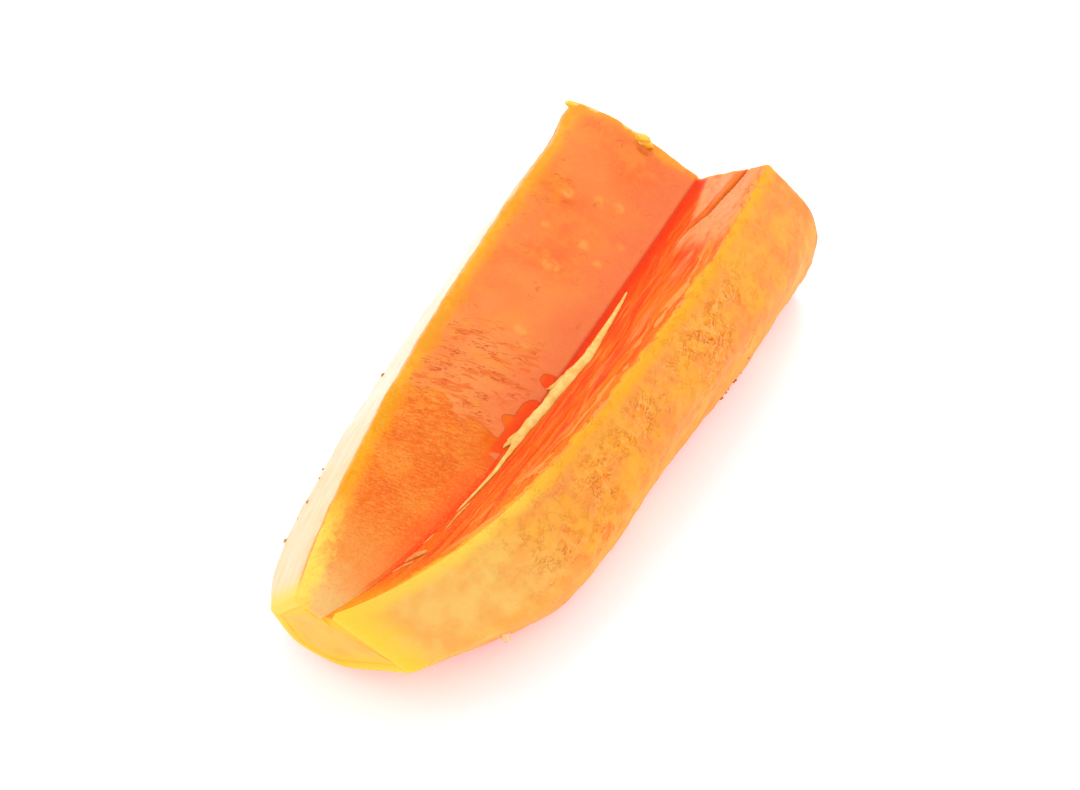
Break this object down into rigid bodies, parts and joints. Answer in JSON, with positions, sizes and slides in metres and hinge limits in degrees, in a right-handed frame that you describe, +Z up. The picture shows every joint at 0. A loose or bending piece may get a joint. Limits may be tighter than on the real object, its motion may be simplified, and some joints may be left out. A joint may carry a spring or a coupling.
{
  "type": "papaya slice",
  "caption": "Peeled lengthwise piece of ripe papaya with an open trough, a seed-cavity wall, a square cut end and a blunt tapered tip.",
  "frame": {"origin": "centre of the bounding box's base, on the ground under the piece", "axes": "+Y along the length towards the square cut end, +X towards the wall that kept the lining of the seed cavity, +Z up out of the open trough"},
  "size_m": [0.0862, 0.18, 0.0467],
  "materials": {
    "papaya_flesh": "wet, soft, slightly translucent orange flesh"
  },
  "bodies": {
    "root": {"papaya_flesh": "papaya_flesh"}
  },
  "joints": []
}
